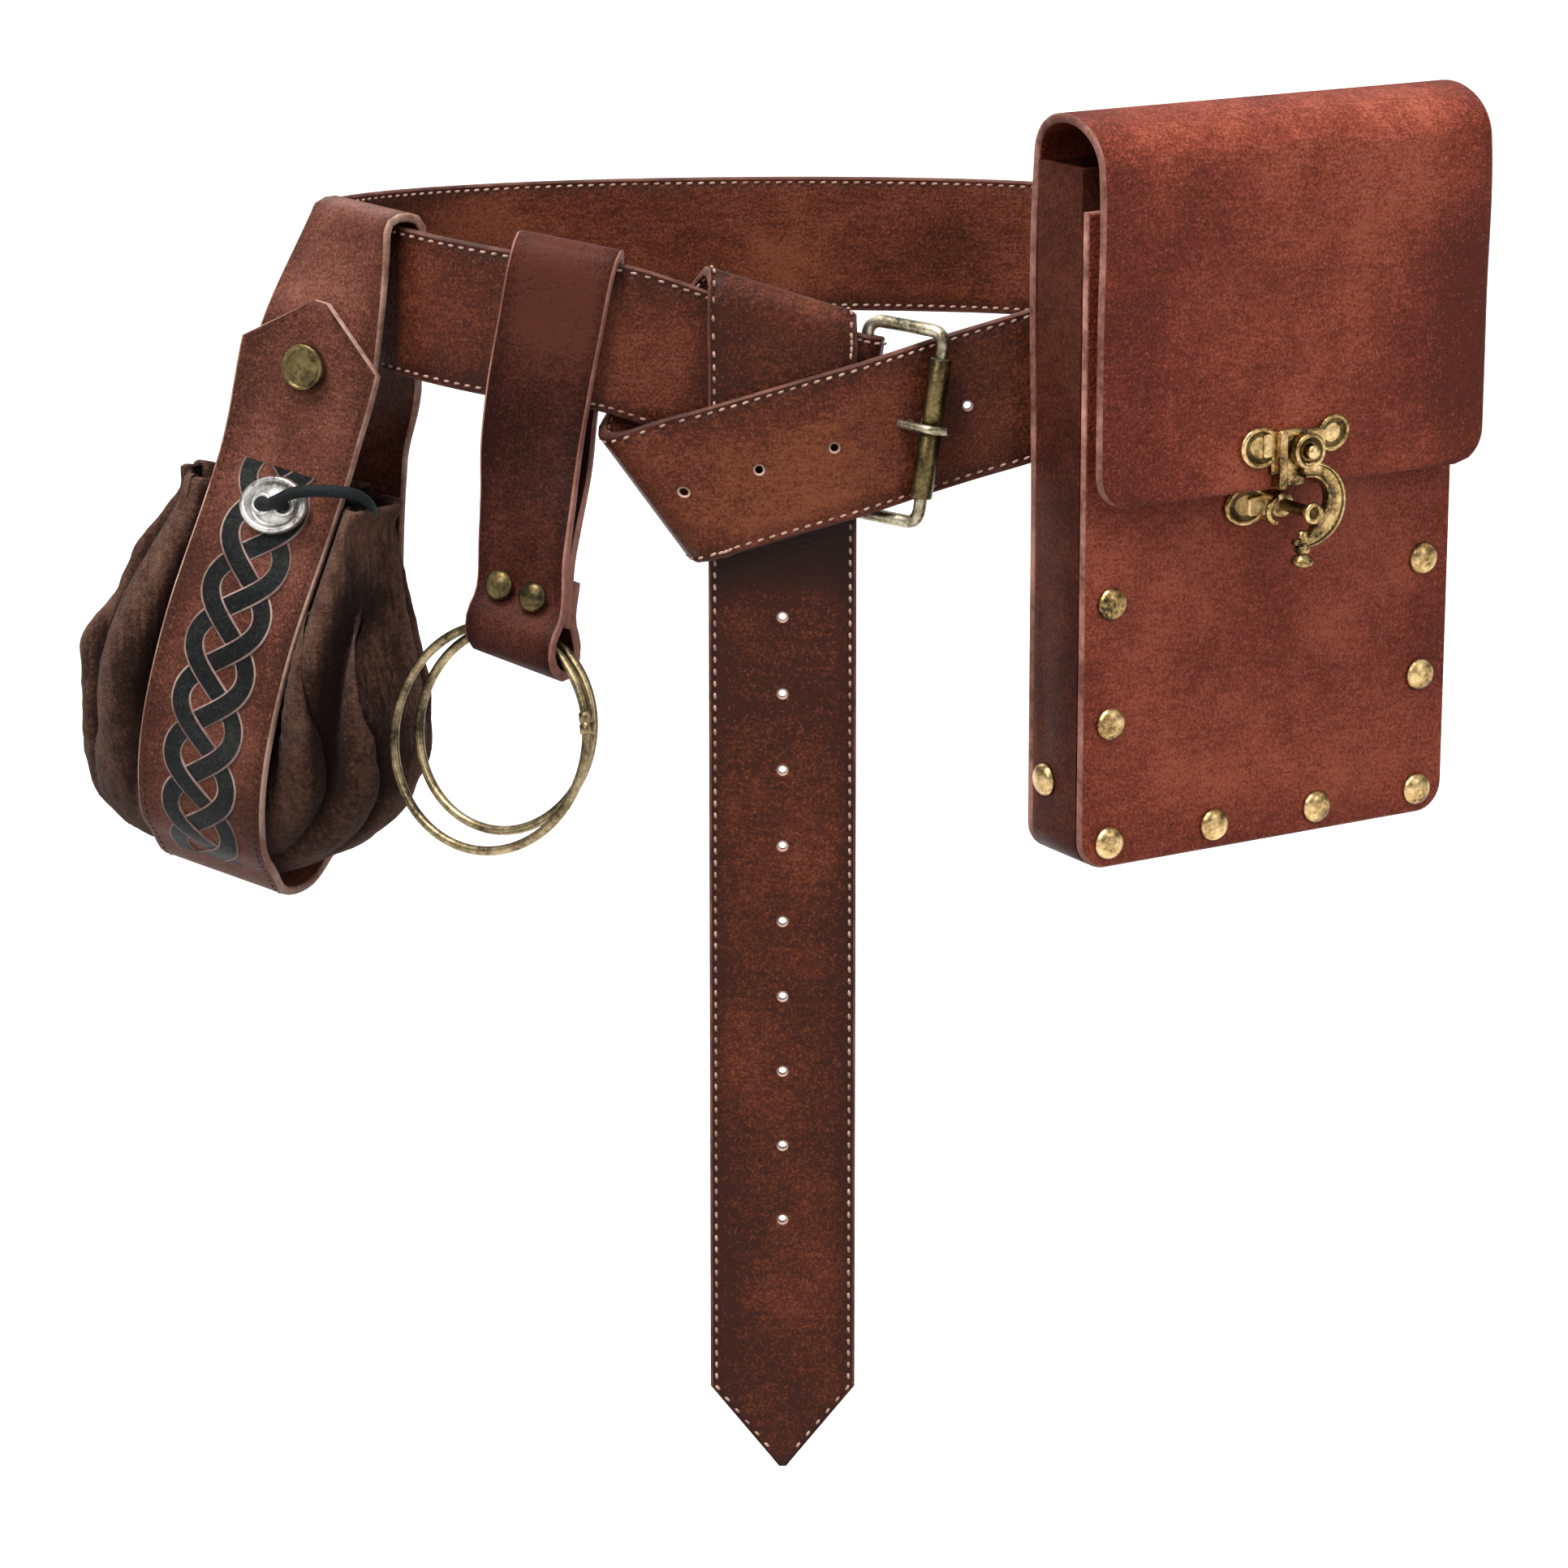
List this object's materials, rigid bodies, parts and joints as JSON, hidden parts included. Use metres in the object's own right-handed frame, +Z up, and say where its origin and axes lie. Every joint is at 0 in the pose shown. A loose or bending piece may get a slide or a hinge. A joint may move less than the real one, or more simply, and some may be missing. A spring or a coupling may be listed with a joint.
{
  "type": "belt bag",
  "caption": "Worn leather waist belt with a hanging end, a riveted belt bag with a swing clasp, a gathered suede pouch and a strap hanger with rings.",
  "frame": {"origin": "middle of the waist, level with the middle line of the belt at the back", "axes": "+Z up, -Y to the wearer's front, +X to the wearer's left, where the bag hangs"},
  "size_m": [0.3889, 0.2157, 0.3819],
  "materials": {
    "belt_leather": "waxed, mottled brown",
    "hanger_leather": "waxed, dark brown with pale cut edges",
    "bag_leather": "waxed, mottled red brown",
    "gusset_leather": "waxed, dark brown",
    "pouch_suede": "suede",
    "pouch_leather": "dull, with a tooled black braid",
    "cord": "matt black",
    "pewter": "worn",
    "old_bronze": "darkened",
    "old_gold": "antiqued",
    "ring_brass": "antiqued",
    "buckle_metal": "polished wire, antiqued"
  },
  "bodies": {
    "root": {"belt": "belt_leather", "hanger": "hanger_leather", "bag_front": "bag_leather", "bag_back_flap": "bag_leather", "bag_gusset": "gusset_leather", "bag_belt_loop": "bag_leather", "pouch_body": "pouch_suede", "pouch_strap": "pouch_leather", "pouch_cord": "cord", "pouch_button": "pewter", "pouch_stud": "old_bronze", "buckle_frame": "buckle_metal", "buckle_tongue": "buckle_metal", "buckle_roller": "old_bronze", "clasp_plate": "old_gold", "clasp_catch": "old_gold", "hanger_rivet_1": "old_bronze", "hanger_rivet_2": "old_bronze", "bag_rivet_1": "old_gold", "bag_rivet_2": "old_gold", "bag_rivet_3": "old_gold", "bag_rivet_4": "old_gold", "bag_rivet_5": "old_gold", "bag_rivet_6": "old_gold", "bag_rivet_7": "old_gold", "bag_rivet_8": "old_gold", "bag_rivet_9": "old_gold", "bag_rivet_10": "old_gold", "bag_rivet_11": "old_gold", "bag_rivet_12": "old_gold", "bag_side_rivet_1": "old_gold", "bag_side_rivet_2": "old_gold", "bag_loop_rivet_1": "old_gold", "bag_loop_rivet_2": "old_gold", "bag_loop_rivet_3": "old_gold", "bag_loop_rivet_4": "old_gold"},
    "clasp_hook": {"clasp_hook": "old_gold"},
    "rings": {"ring_large": "ring_brass", "ring_small": "ring_brass"}
  },
  "joints": [
    {"name": "clasp_swing", "type": "hinge", "parent": "root", "child": "clasp_hook", "pos_m": [0.13782, -0.09381, -0.04335], "axis": [0.5135, -0.8545, -0.0785], "range_deg": [0, 100]},
    {"name": "ring_swing", "type": "hinge", "parent": "root", "child": "rings", "pos_m": [-0.07087, -0.0899, -0.09622], "axis": [0.8257, -0.5172, -0.225], "range_deg": [-20, 12]}
  ]
}
